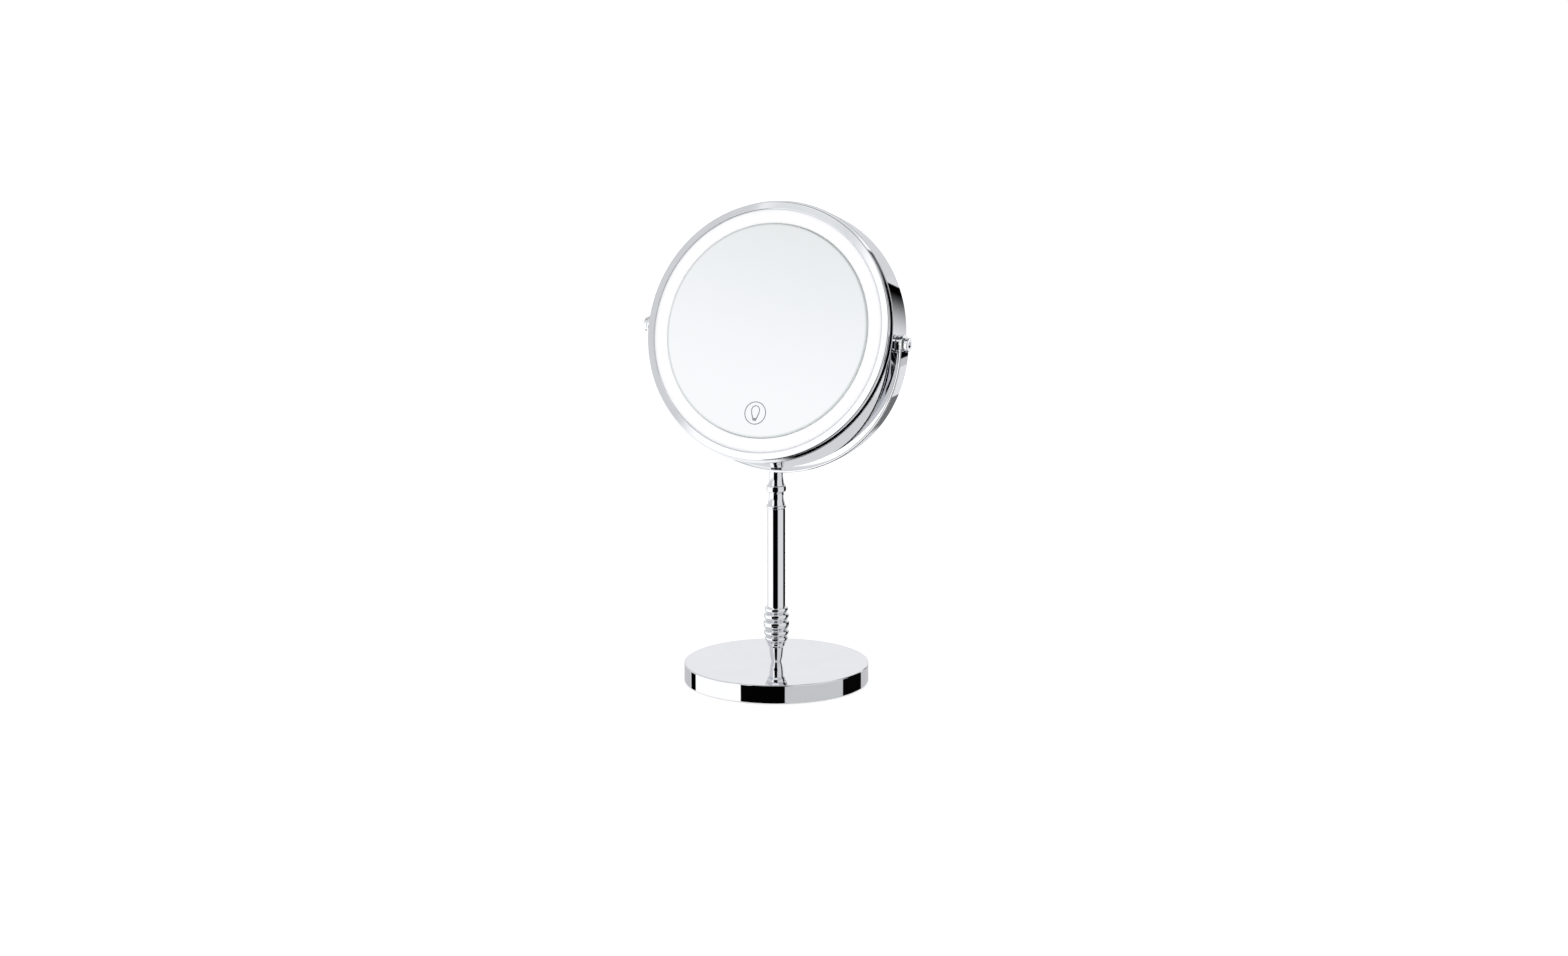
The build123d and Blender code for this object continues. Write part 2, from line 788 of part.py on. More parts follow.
def touch_icon():
    """The sign printed over the touch key: a ring round a lamp's outline."""
    line = icon_line / 2
    ink = Circle(icon_radius + line) - Circle(icon_radius - line)
    ink += lamp_outline(line) - lamp_outline(-line)
    ink += Pos(0, (lamp_cap - lamp_height) / 2) * Rectangle(2 * lamp_neck, lamp_cap)
    face_plane = Plane(origin=(0, -half_depth, -touch_drop), x_dir=(1, 0, 0), z_dir=(0, -1, 0))
    return face_plane * extrude(ink, icon_thickness)


# ---- Back of the head ----
def dish(radius, lift):
    """Depth of the back mirror's sphere at a radius, moved by lift."""
    apex = rear_rim - rear_sag + lift
    return apex + rear_curve - sqrt(rear_curve**2 - radius**2)


def dish_arc(outer, inner, lift):
    middle = (outer + inner) / 2
    return ThreePointArc((inner, dish(inner, lift)), (middle, dish(middle, lift)), (outer, dish(outer, lift)))


def dish_shell(outer, inner, high, low):
    """A solid between two copies of the mirror's curve."""
    top = dish_arc(outer, inner, high)
    bottom = dish_arc(outer, inner, low)
    edges = top + Line(top @ 1, bottom @ 1) + bottom + Line(bottom @ 0, top @ 0)
    return revolve(make_face(edges), Axis.Y)


def rear_glass():
    return dish_shell(rear_radius, 0, 0, -rear_glass_thickness)


def rear_glass_tape():
    outer = rear_radius - rear_rim_inset
    low = -rear_glass_thickness - rear_tape_thickness
    return dish_shell(outer, outer - rear_tape_width, -rear_glass_thickness, low)


def rear_carrier():
    """Plate with a raised rim for the back mirror, bosses on its inside for the circuit board."""
    outer = rear_radius - rear_rim_inset
    inner = outer - rear_tape_width
    low = -rear_glass_thickness - rear_tape_thickness
    rim_top = dish_arc(outer, inner, low)
    edges = rim_top + Polyline(
        rim_top @ 1,
        (outer, frame_half_width),
        (0, frame_half_width),
        (0, rear_floor),
        (inner, rear_floor),
        rim_top @ 0,
    )
    carrier = revolve(make_face(edges), Axis.Y)
    for x, z in board_holes():
        carrier += rod(board_standoff_radius, (x, board_back, z), (x, rear_floor, z))
    for x, z in board_holes():
        carrier -= rod(m25_radius + thread_gap, (x, 0, z), (x, rear_floor - slip, z))
    for angle in lug_angles:
        start = at(rear_screw_ring(), angle, 0)
        carrier -= rod(m3_radius + bolt_gap, start, at(rear_screw_ring(), angle, half_depth))
    return carrier


def rear_screws():
    solids = []
    for angle in lug_angles:
        tip = at(rear_screw_ring(), angle, frame_half_width - rear_screw_depth)
        seat = at(rear_screw_ring(), angle, rear_floor)
        solids.append(pan_screw(tip, seat, m3_radius, m3_head_radius, m3_head_height))
    return group(solids)


# ---- Power and control ----
def on_board(u, v):
    """The x and z of a point on the circuit board: u along the head's radius, v across it."""
    angle = radians(board_angle)
    return u * cos(angle) - v * sin(angle), u * sin(angle) + v * cos(angle)


def board_edges():
    outer = frame_inner - seat_gap
    return outer - board_depth, outer


def board_holes():
    inner, _ = board_edges()
    reach = board_length / 2 - board_hole_inset
    for side in (-1, 1):
        yield on_board(inner + board_hole_inset, side * reach)


def control_board():
    inner, outer = board_edges()
    half = board_length / 2
    board = block((inner, board_face, -half), (outer, board_back, half))
    room = rod(frame_inner - seat_gap, (0, -half_depth, 0), (0, half_depth, 0))
    board = Rot(0, -board_angle, 0) * board & room
    for x, z in board_holes():
        board -= rod(m25_radius + bolt_gap, (x, -half_depth, z), (x, half_depth, z))
    return board


def board_parts():
    """Chips, coil and capacitor on the board."""
    inner, _ = board_edges()
    solids = []
    for u, v, length, width, height in board_part_sizes:
        low = (inner + u - length / 2, board_face - height, v - width / 2)
        high = (inner + u + length / 2, board_face, v + width / 2)
        solids.append(Rot(0, -board_angle, 0) * block(low, high))
    return group(solids)


def board_screws():
    solids = []
    for x, z in board_holes():
        tip = (x, rear_floor - 2 * slip, z)
        seat = (x, board_face, z)
        solids.append(pan_screw(tip, seat, m25_radius, m25_head_radius, m25_head_height))
    return group(solids)


def charge_socket():
    mouth = head_radius - socket_recess
    outside = SlotOverall(socket_width, socket_height)
    inside = SlotOverall(socket_width - 2 * socket_wall, socket_height - 2 * socket_wall)
    across = Plane.YZ * Rot(0, 0, 90)
    socket = extrude(across * outside, socket_depth)
    socket -= Pos(socket_back, 0, 0) * extrude(across * inside, socket_depth - socket_back)
    socket += block(
        (socket_back, -socket_wall, -tongue_width / 2),
        (socket_depth - tongue_setback, socket_wall, tongue_width / 2),
    )
    return Rot(0, -board_angle, 0) * Pos(mouth - socket_depth, socket_depth_place, 0) * socket


def battery_cell():
    half = cell_length / 2
    cell = rod(cell_radius, (-half, -cell_depth, -cell_drop), (half, -cell_depth, -cell_drop))
    return fillet(cell.edges().filter_by(GeomType.CIRCLE), cell_edge_round)


def battery_tray():
    """Open box on the front carrier's back, hollowed to the cell's curve."""
    half = cell_length / 2 + tray_gap + tray_wall
    side = cell_radius + tray_gap + tray_wall
    tray = block(
        (-half, -carrier_back, -cell_drop - side),
        (half, -cell_depth, -cell_drop + side),
    )
    room = cell_length / 2 + tray_gap
    hollow = rod(cell_radius + slip / 2, (-room, -cell_depth, -cell_drop), (room, -cell_depth, -cell_drop))
    tray -= hollow
    notch = block(
        (-half, -cell_depth - tray_notch, -cell_drop - tray_notch),
        (-cell_length / 2, 0, -cell_drop + tray_notch),
    )
    return tray - notch


def led_lead_spots():
    return [at(led_ring, board_angle + turn, 0) for turn in led_lead_turns]


def led_leads():
    return group(
        rod(lead_radius, (x, -channel_face, z), (x, board_face, z)) for x, _, z in led_lead_spots()
    )


def battery_leads():
    """Two wires from the cell's left end up to the circuit board."""
    inner, _ = board_edges()
    end = -cell_length / 2
    solids = []
    for side, across, reach in zip((-1, 1), cell_pads, cell_lead_reach):
        y = side * cell_lead_step - cell_depth
        x, z = on_board(inner + pad_inset, across)
        points = [(end, y, -cell_drop), (end - reach, y, -cell_drop), (x, y, z), (x, board_face, z)]
        solids.append(lead(points))
    return group(solids)


def touch_lead():
    """One wire from the sensing pad round the cell to the circuit board."""
    inner, _ = board_edges()
    x, z = on_board(inner + pad_inset, touch_lead_pad)
    key = -touch_drop
    pad_back = touch_pad_thickness - glass_back
    run = touch_lead_gap - carrier_back
    left = -cell_length / 2 - touch_lead_reach
    low = -cell_drop - touch_lead_drop
    points = [(0, pad_back, key), (0, run, key), (left, run, low), (x, run, z), (x, board_face, z)]
    return lead(points)


STAND = {
    "base_cover": base_cover,
    "base_weight": base_weight,
    "base_plate": base_plate,
    "base_pad": base_pad,
    "base_screws": base_screws,
    "tie_rod": tie_rod,
    "tie_rod_washer": tie_rod_washer,
    "tie_rod_nut": tie_rod_nut,
    "stem_foot": stem_foot,
    "stem_beehive": stem_beehive,
    "stem_tube": stem_tube,
    "stem_neck": stem_neck,
    "stem_bell": stem_bell,
    "yoke": yoke,
    "yoke_screw": yoke_screw,
}

HEAD = {
    "drum_band": drum_band,
    "front_bezel": lambda: bezel(FRONT),
    "rear_bezel": lambda: bezel(REAR),
    "inner_frame": inner_frame,
    "pivot_inserts": pivot_inserts,
    "pivot_bushes": pivot_bushes,
    "pivot_washers": pivot_washers,
    "pivot_bolts": pivot_bolts,
    "front_carrier": front_carrier,
    "light_ring": light_ring,
    "front_glass": front_glass,
    "front_glass_tape": front_glass_tape,
    "front_screws": front_screws,
    "led_board": led_board,
    "led_chips": led_chips,
    "touch_pad": touch_pad,
    "touch_icon": touch_icon,
    "touch_lead": touch_lead,
    "rear_glass": rear_glass,
    "rear_glass_tape": rear_glass_tape,
    "rear_carrier": rear_carrier,
    "rear_screws": rear_screws,
    "control_board": control_board,
    "board_parts": board_parts,
    "board_screws": board_screws,
    "charge_socket": charge_socket,
    "battery_cell": battery_cell,
    "battery_tray": battery_tray,
    "battery_leads": battery_leads,
    "led_leads": led_leads,
}

os.makedirs("parts", exist_ok=True)
lean = Pos(0, 0, pivot_height) * Rot(-rest_tilt, 0, 0)
for node, build in STAND.items():
    export_step(build(), f"parts/{node}.step")
for node, build in HEAD.items():
    export_step(lean * build(), f"parts/{node}.step")
print(f"pivot line {pivot_height:.2f} mm above the table, drum {2 * half_depth:.2f} mm deep")
print(f"back mirror: hollow {rear_sag:.2f} mm deep, radius of curvature {rear_curve:.0f} mm")
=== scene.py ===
import json
import math

import bmesh
import bpy
from mathutils import Matrix, Vector


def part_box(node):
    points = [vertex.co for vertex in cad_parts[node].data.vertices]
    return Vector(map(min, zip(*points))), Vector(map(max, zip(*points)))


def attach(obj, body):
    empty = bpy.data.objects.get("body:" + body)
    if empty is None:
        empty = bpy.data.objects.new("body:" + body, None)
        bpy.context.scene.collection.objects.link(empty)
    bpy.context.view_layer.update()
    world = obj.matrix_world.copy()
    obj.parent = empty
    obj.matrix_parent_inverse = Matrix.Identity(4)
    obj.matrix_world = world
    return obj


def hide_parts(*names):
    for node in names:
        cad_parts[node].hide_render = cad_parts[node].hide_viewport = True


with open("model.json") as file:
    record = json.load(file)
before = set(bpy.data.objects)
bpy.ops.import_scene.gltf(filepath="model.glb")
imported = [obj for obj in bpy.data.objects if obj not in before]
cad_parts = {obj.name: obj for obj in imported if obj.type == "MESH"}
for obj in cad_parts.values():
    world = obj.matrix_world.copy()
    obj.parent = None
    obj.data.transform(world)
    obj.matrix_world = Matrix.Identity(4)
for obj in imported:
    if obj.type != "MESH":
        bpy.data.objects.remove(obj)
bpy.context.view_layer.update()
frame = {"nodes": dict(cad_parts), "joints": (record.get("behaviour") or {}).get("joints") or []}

MM = 0.001

# ---- Camera: metres, degrees and millimetres of lens ----
camera_place = (1.2770, -2.8320, 0.8506)
camera_down = 12.46
camera_turn = 24.16
lens = 93.0
sensor = 36.0

# ---- The head: where it pivots and how far it leans back at rest ----
pivot = Vector(frame["joints"][0]["pos_m"])
rest_tilt = 18.5
lean = Matrix.Translation(pivot) @ Matrix.Rotation(math.radians(-rest_tilt), 4, "X")
to_front = lean @ Matrix.Rotation(math.radians(90), 4, "X")
to_rear = lean @ Matrix.Rotation(math.radians(-90), 4, "X")

# ---- Turned and pressed sections: millimetres, radii from the axis ----
cover_bore = 2.7
cover_skin = 1.0
cover_edge_round = 0.9
cover_foot_round = 0.3
rod_bore = 2.7
foot_bottom_radius = 3.9
foot_top_radius = 5.55
foot_swell = 0.5
ring_heights = (3.9, 4.7, 5.1, 7.5, 6.1, 5.2)
ring_radii = (7.1, 8.9, 9.85, 10.15, 9.7, 9.1)
ring_waists = (6.0, 7.4, 8.0, 8.2, 7.9, 7.5)
ring_slope = 0.45
ring_bulge = 0.5
ring_edge_round = 0.8
spigot_radius = 5.7
spigot_length = 6.0
neck_ring_height = 3.0
neck_ring_radius = 7.8
neck_shoulder_radius = 7.0
neck_waist_radius = 5.85
neck_hollow = 0.45
neck_edge_round = 1.1
neck_collar_height = 5.3
neck_collar_radius = 7.7

# ---- The head's sections: millimetres, depths from the middle of the drum ----
glass_radius = 84.0
glass_face = 20.1
glass_back = 17.1
glass_bevel = 0.6
light_face = 18.9
carrier_face = 16.5
bezel_width = 6.0
bezel_face = 19.5
bezel_fall = 0.75
bezel_lip = 1.6
bezel_seam = 13.5
bezel_foot = 6.4
bezel_round = 1.0
bezel_inner_round = 0.5
bezel_skirt_radius = 100.7
bezel_skirt = 1.8
light_width = 11.7
light_gap = 0.2
glass_gap = 0.4
light_inner = glass_radius + glass_gap
light_outer = glass_radius + light_width - light_gap
light_edge_round = 0.7
rear_rim = 17.7
rear_sag = 7.5
rear_thickness = 2.5
rear_facets = 24

# ---- The row of diodes ----
diode_count = 60
led_ring = 91.45
led_board_face = 9.2
diode_across = 2.8
diode_along = 3.5
diode_height = 0.8
diode_window = 1.15
diode_window_proud = 0.05
diode_window_sides = 16

# ---- Fineness of the turned meshes ----
wide_steps = 256
narrow_steps = 128
arc_steps = 8
side_steps = 12
sharp_edge = math.radians(40)

# ---- Finishes ----
grain_range = {"From Min": 0.3, "From Max": 0.7}
grain_detail = 3.0
grain_roughness = 0.55
backing_creep = 1.8  # from the rim, where the silver starts to dull
backing_rim = 0.4  # from the rim, where it is dullest
haze_size = 35.0
haze_range = {"From Min": 0.45, "From Max": 0.8, "To Min": 0.0, "To Max": 0.02}
satin_size = 0.35
satin_relief = 0.01
# Strength of the painted glow on the opal ring: painted light, since the diodes give none.
opal_painted_glow = 0.4
foam_cell = 0.7
foam_relief = 0.15
track_pitch = 6.0
track_relief = 0.035

# ---- Studio ----
tent_strength = 1.18
paper_half_width = 20.0  # metres
paper_glow = 0.62


# ---- Node helpers ----
def linear(hex_colour):
    """An sRGB hex colour as linear red, green, blue and alpha."""
    channels = [int(hex_colour[i:i + 2], 16) / 255 for i in (1, 3, 5)]
    low = [c / 12.92 if c <= 0.04045 else ((c + 0.055) / 1.055) ** 2.4 for c in channels]
    return (*low, 1.0)


def add(tree, kind, links=None, sets=None, **settings):
    """A node with its settings, the links into its sockets and the values of its other sockets."""
    node = tree.nodes.new(kind)
    for name, value in settings.items():
        setattr(node, name, value)
    for socket, source in (links or {}).items():
        tree.links.new(source, node.inputs[socket])
    for socket, value in (sets or {}).items():
        node.inputs[socket].default_value = value
    return node


def material(name, **sockets):
    """A material with one Principled shader: its tree, its shader and the piece's own coordinates."""
    made = bpy.data.materials.new(name)
    made.use_nodes = True
    tree = made.node_tree
    shader = tree.nodes["Principled BSDF"]
    for socket, value in sockets.items():
        shader.inputs[socket.replace("_", " ")].default_value = value
    place = add(tree, "ShaderNodeTexCoord").outputs["Object"]
    return made, tree, shader, place


def mottle(tree, shader, place, size, colours, roughness, relief=0.0, stretch=(1, 1, 1)):
    """Grain that is size millimetres across: it varies the colour and the gloss and raises the surface.

    colours are the hex colours in its hollows and on its crests, roughness its values there, and relief
    the height in millimetres from one to the other."""
    scaled = add(tree, "ShaderNodeMapping", {"Vector": place}, {"Scale": stretch})
    noise = add(
        tree, "ShaderNodeTexNoise", {"Vector": scaled.outputs[0]},
        {"Scale": 1 / (size * MM), "Detail": grain_detail, "Roughness": grain_roughness},
    )
    tint = add(tree, "ShaderNodeMapRange", {"Value": noise.outputs["Fac"]}, grain_range)
    ramp = add(tree, "ShaderNodeValToRGB", {"Fac": tint.outputs[0]})
    for element, colour in zip(ramp.color_ramp.elements, colours):
        element.color = linear(colour)
    ends = {"To Min": roughness[0], "To Max": roughness[1]}
    gloss = add(tree, "ShaderNodeMapRange", {"Value": noise.outputs["Fac"]}, {**grain_range, **ends})
    tree.links.new(ramp.outputs["Color"], shader.inputs["Base Color"])
    tree.links.new(gloss.outputs[0], shader.inputs["Roughness"])
    if relief:
        bump = add(tree, "ShaderNodeBump", {"Height": noise.outputs["Fac"]}, {"Distance": relief * MM})
        tree.links.new(bump.outputs[0], shader.inputs["Normal"])


# ---- Bright metal ----
def bright_chrome_plate():
    """Bright nickel and chrome over polished brass: blue-white and mirror-sharp. Wiping leaves a haze
    in patches a few centimetres across, just enough to soften a reflection here and there."""
    made, tree, shader, place = material("bright_chrome_plate", Metallic=1.0)
    mottle(tree, shader, place, 24.0, ("#EBECEF", "#EFF0F2"), (0.008, 0.026))
    return made


def chrome_plated_abs():
    """Chrome over moulded ABS, as on the drum: as bright as plated brass, but the moulding under it is
    not quite even, so long reflections waver by a hair."""
    made, tree, shader, place = material("chrome_plated_abs", Metallic=1.0)
    mottle(tree, shader, place, 30.0, ("#EAEBEE", "#EFF0F2"), (0.01, 0.03), relief=0.012)
    return made


def black_nickel_plate():
    """Dark nickel on steel, as on the screw in the yoke: a grey mirror that is slightly brown."""
    made, tree, shader, place = material("black_nickel_plate", Metallic=1.0)
    mottle(tree, shader, place, 1.5, ("#55555A", "#66656A"), (0.12, 0.22))
    return made


def zinc_plated_steel():
    """Bright zinc on a machine screw or threaded rod: dull silver with a faint blue and yellow bloom."""
    made, tree, shader, place = material("zinc_plated_steel", Metallic=1.0)
    mottle(tree, shader, place, 1.2, ("#B4B9C4", "#C9C6B8"), (0.24, 0.4), relief=0.004)
    return made


def tin_plated_steel():
    """Pressed and tin-plated shell of a socket: soft silver with lengthways drawing marks."""
    made, tree, shader, place = material("tin_plated_steel", Metallic=1.0)
    mottle(tree, shader, place, 0.8, ("#BDBDBB", "#D2D2D0"), (0.2, 0.34), relief=0.003, stretch=(0.1, 1, 1))
    return made


def turned_brass():
    """Free-cutting brass off the lathe: warm yellow with fine rings 0.2 mm apart round its axis."""
    made, tree, shader, place = material("turned_brass", Metallic=1.0)
    rings = (1, 0.02, 0.02)
    mottle(tree, shader, place, 0.2, ("#B8923F", "#D9B765"), (0.16, 0.3), relief=0.006, stretch=rings)
    return made


def painted_cast_iron():
    """Sand-cast disc dipped in dark primer: lumps 1.4 mm across show through the paint."""
    made, tree, shader, place = material("painted_cast_iron")
    mottle(tree, shader, place, 1.4, ("#2E2F31", "#45464A"), (0.5, 0.72), relief=0.25)
    return made


# ---- Mirrors and the light ring ----
def head_radius_of(tree, place, unit):
    """Distance from the middle of the head in the plane of its face, counted in units of millimetres."""
    upright = add(
        tree, "ShaderNodeMapping", {"Vector": place},
        {"Location": pivot, "Rotation": lean.to_euler(), "Scale": (unit * MM,) * 3}, vector_type="TEXTURE",
    )
    flat = add(
        tree, "ShaderNodeVectorMath", {0: upright.outputs[0]}, {1: (1, 0, 1)}, operation="MULTIPLY"
    )
    return add(tree, "ShaderNodeVectorMath", {0: flat.outputs[0]}, operation="LENGTH").outputs["Value"]


def silvered_float_glass(name, rim):
    """Silver and copper behind clear float glass: a sharp mirror that is a trace green. The last
    millimetres before the rim are duller, where the backing paint has crept round the silver, and
    a faint wiping haze lies over the rest."""
    made, tree, shader, place = material(name, Metallic=1.0)
    reach = head_radius_of(tree, place, rim)
    shades = add(tree, "ShaderNodeValToRGB", {"Fac": reach})
    silver, edge = shades.color_ramp.elements
    silver.position = 1 - backing_creep / rim
    silver.color = linear("#F5F7F8")
    edge.position = 1 - backing_rim / rim
    edge.color = linear("#DCE2E1")
    haze = add(tree, "ShaderNodeTexNoise", {"Vector": place}, {"Scale": 1 / (haze_size * MM), "Detail": 4.0})
    gloss = add(tree, "ShaderNodeMapRange", {"Value": haze.outputs["Fac"]}, haze_range)
    tree.links.new(shades.outputs["Color"], shader.inputs["Base Color"])
    tree.links.new(gloss.outputs[0], shader.inputs["Roughness"])
    return made


def ground_glass_edge():
    """The glass's ground rim and bevel: pale grey-green and matt, with grinding marks 0.3 mm long."""
    made, tree, shader, place = material("ground_glass_edge", IOR=1.52)
    mottle(tree, shader, place, 0.3, ("#D9DFDD", "#E9EDEC"), (0.4, 0.6), relief=0.01)
    return made


def opal_acrylic():
    """Opal PMMA with a spark-eroded satin skin, which spreads the light of the diodes. Its colour holds
    painted
    shading: whitest along its middle and darker towards its inner and outer edges, as light falls on its
    rounded face. The same colours feed a weak glow, which is painted light, since the diodes give none."""
    made, tree, shader, place = material("opal_acrylic", Roughness=0.34, IOR=1.49, Specular_IOR_Level=0.35)
    reach = head_radius_of(tree, place, 1.0)
    width = {"From Min": light_inner, "From Max": light_outer}
    share = add(tree, "ShaderNodeMapRange", {"Value": reach}, width)
    # Painted shading: the ramp is darker at the ring's inner and outer edges and whitest along its middle, as
    # light falls on its rounded face, and it colours both the surface and the painted glow.
    shades = add(tree, "ShaderNodeValToRGB", {"Fac": share.outputs[0]})
    ramp = shades.color_ramp
    ramp.elements[0].color = linear("#D4D5D7")
    ramp.elements[1].color = linear("#D9DADC")
    for position, colour in ((0.06, "#EDEDEE"), (0.3, "#F6F6F6"), (0.6, "#F8F8F8"), (0.9, "#EAEAEC")):
        ramp.elements.new(position).color = linear(colour)
    grit = {"Scale": 1 / (satin_size * MM), "Detail": 2.0}
    satin = add(tree, "ShaderNodeTexNoise", {"Vector": place}, grit)
    bump = add(tree, "ShaderNodeBump", {"Height": satin.outputs["Fac"]}, {"Distance": satin_relief * MM})
    tree.links.new(shades.outputs["Color"], shader.inputs["Base Color"])
    tree.links.new(shades.outputs["Color"], shader.inputs["Emission Color"])
    shader.inputs["Emission Strength"].default_value = opal_painted_glow
    tree.links.new(bump.outputs[0], shader.inputs["Normal"])
    return made


def screen_printed_ink():
    """Grey enamel ink pressed through a mesh, whose dots in the film are drawn 0.3 mm across to show."""
    made, tree, shader, place = material("screen_printed_ink")
    mottle(tree, shader, place, 0.3, ("#9A9DA1", "#ACAFB2"), (0.42, 0.6), relief=0.01)
    return made


# ---- Plastics, rubber and tape ----
def textured_abs(name, colours):
    """ABS moulded in a spark-eroded tool: an even matt skin with pits a quarter of a millimetre across."""
    made, tree, shader, place = material(name, IOR=1.54)
    mottle(tree, shader, place, 0.25, colours, (0.42, 0.58), relief=0.02)
    return made


def glass_filled_nylon():
    """Nylon with chopped glass: dark grey, with pale fibres that lie in streaks where it flowed."""
    made, tree, shader, place = material("glass_filled_nylon", IOR=1.53)
    mottle(tree, shader, place, 0.9, ("#17181A", "#303236"), (0.45, 0.65), relief=0.02, stretch=(0.2, 1, 1))
    return made


def natural_nylon():
    """Unfilled nylon washer: milky, a little waxy, and it lets some light in."""
    made, tree, shader, place = material(
        "natural_nylon", IOR=1.53, Subsurface_Weight=0.2, Subsurface_Scale=0.5 * MM
    )
    mottle(tree, shader, place, 0.6, ("#CFCEC6", "#DDDCD5"), (0.32, 0.44), relief=0.008)
    return made


def foam_rubber():
    """Closed-cell EVA foam: soft black with cut cells 0.7 mm across all over it."""
    made, tree, shader, place = material("foam_rubber", Roughness=0.85, IOR=1.45, Specular_IOR_Level=0.3)
    cells = add(tree, "ShaderNodeTexVoronoi", {"Vector": place}, {"Scale": 1 / (foam_cell * MM)})
    shades = add(tree, "ShaderNodeValToRGB", {"Fac": cells.outputs["Distance"]})
    shades.color_ramp.elements[0].color = linear("#0D0D0E")
    shades.color_ramp.elements[1].color = linear("#232324")
    bump = add(tree, "ShaderNodeBump", {"Height": cells.outputs["Distance"]}, {"Distance": foam_relief * MM})
    tree.links.new(shades.outputs["Color"], shader.inputs["Base Color"])
    tree.links.new(bump.outputs[0], shader.inputs["Normal"])
    return made


def acrylic_foam_tape():
    """White double-sided foam tape: matt, with fine cells."""
    made, tree, shader, place = material("acrylic_foam_tape", IOR=1.47)
    mottle(tree, shader, place, 0.4, ("#DADAD5", "#EBEBE6"), (0.7, 0.85), relief=0.04)
    return made


def pvc_wire(name, colours):
    """PVC insulation, pulled through a die: glossy, with faint lengthways waves over the strands."""
    made, tree, shader, place = material(name, IOR=1.53)
    mottle(tree, shader, place, 1.2, colours, (0.28, 0.42), relief=0.03)
    return made


def shrink_sleeve():
    """Blue PVC sleeve shrunk round the cell: shiny, with slight puckers a few millimetres across."""
    made, tree, shader, place = material("shrink_sleeve", IOR=1.53)
    mottle(tree, shader, place, 4.0, ("#1D4C8A", "#255A9C"), (0.2, 0.32), relief=0.05)
    return made


# ---- Electronics ----
def solder_mask_board(name, mask, track):
    """Glass-epoxy board under solder mask: tracks 0.8 mm wide stand up a little and look paler."""
    made, tree, shader, place = material(name, Roughness=0.4, IOR=1.55)
    tracks = add(
        tree, "ShaderNodeTexBrick", {"Vector": place},
        {"Scale": 1 / (track_pitch * MM), "Mortar Size": 0.07, "Brick Width": 1.6, "Row Height": 0.5,
         "Color1": linear(mask), "Color2": linear(mask), "Mortar": linear(track)},
    )
    bump = add(tree, "ShaderNodeBump", {"Height": tracks.outputs["Fac"]}, {"Distance": track_relief * MM})
    tree.links.new(tracks.outputs["Color"], shader.inputs["Base Color"])
    tree.links.new(bump.outputs[0], shader.inputs["Normal"])
    return made


def moulded_epoxy():
    """Black epoxy of chips and coils: fine matt grit from the mould."""
    made, tree, shader, place = material("moulded_epoxy", IOR=1.55)
    mottle(tree, shader, place, 0.15, ("#131315", "#1F1F22"), (0.5, 0.66), relief=0.012)
    return made


def white_ppa():
    """White PPA package of a diode: matt and very white, so that it throws the light forward."""
    made, tree, shader, place = material("white_ppa", IOR=1.57)
    mottle(tree, shader, place, 0.3, ("#E6E6E2", "#F2F2EF"), (0.45, 0.6), relief=0.008)
    return made


def phosphor_silicone():
    """Yellow phosphor in clear silicone, poured into the package: grainy and slightly domed."""
    made, tree, shader, place = material("phosphor_silicone", IOR=1.41)
    mottle(tree, shader, place, 0.12, ("#D9C23C", "#EBD966"), (0.16, 0.26), relief=0.01)
    return made


# ---- Turned pieces ----
def rounded(corners):
    """The points of a closed outline whose corners are (radius, height, rounding)."""
    points = []
    for index, (x, y, rounding) in enumerate(corners):
        corner = Vector((x, y))
        if not rounding:
            points.append(corner)
            continue
        back = (Vector(corners[index - 1][:2]) - corner).normalized()
        onward = (Vector(corners[(index + 1) % len(corners)][:2]) - corner).normalized()
        half = back.angle(onward) / 2
        reach = rounding / math.tan(half)
        centre = corner + (back + onward).normalized() * rounding / math.sin(half)
        start = corner + back * reach - centre
        turn = start.angle_signed(corner + onward * reach - centre)
        for step in range(arc_steps + 1):
            points.append(centre + Matrix.Rotation(-turn * step / arc_steps, 2) @ start)
    return points


def bowed(bottom, top, swell):
    """A turned side between two (radius, height) points that bows out by swell, or in if it is negative."""
    points = []
    for step in range(side_steps + 1):
        share = step / side_steps
        point = Vector(bottom).lerp(Vector(top), share)
        point.x += swell * 4 * share * (1 - share)
        points.append(point)
    return points


def turned(node, body, outline, finishes, steps=narrow_steps, place=Matrix.Identity(4), finish_of=None):
    """Spins a closed outline of (radius, height) millimetres round its axis, in place of a CAD node.

    finish_of gives the number of the finish on the stretch that starts at an outline's point."""
    mesh = bpy.data.meshes.new(node)
    made = bmesh.new()
    columns = []
    for step in range(steps):
        angle = 2 * math.pi * step / steps
        spoke = Vector((math.cos(angle), math.sin(angle)))
        columns.append([made.verts.new((spoke.x * r * MM, spoke.y * r * MM, h * MM)) for r, h in outline])
    for step in range(steps):
        near, far = columns[step], columns[(step + 1) % steps]
        for index in range(len(outline)):
            after = (index + 1) % len(outline)
            if outline[index][0] == 0 and outline[after][0] == 0:
                continue
            face = made.faces.new((near[index], near[after], far[after], far[index]))
            face.smooth = True
            face.material_index = finish_of(index) if finish_of else 0
    bmesh.ops.remove_doubles(made, verts=made.verts, dist=0.001 * MM)
    bmesh.ops.recalc_face_normals(made, faces=made.faces)
    made.transform(place)
    made.to_mesh(mesh)
    made.free()
    mesh.set_sharp_from_angle(angle=sharp_edge)
    for finish in finishes:
        mesh.materials.append(finish)
    return shown(node + "_turned", mesh, node, body)


def shown(name, mesh, node, body):
    """An object in place of a CAD node, with its flats shaded flat and its curves smooth."""
    piece = bpy.data.objects.new(name, mesh)
    bpy.context.collection.objects.link(piece)
    piece.modifiers.new("flat_faces", "WEIGHTED_NORMAL").keep_sharp = True
    settle(piece)
    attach(piece, body)
    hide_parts(node)
    return piece


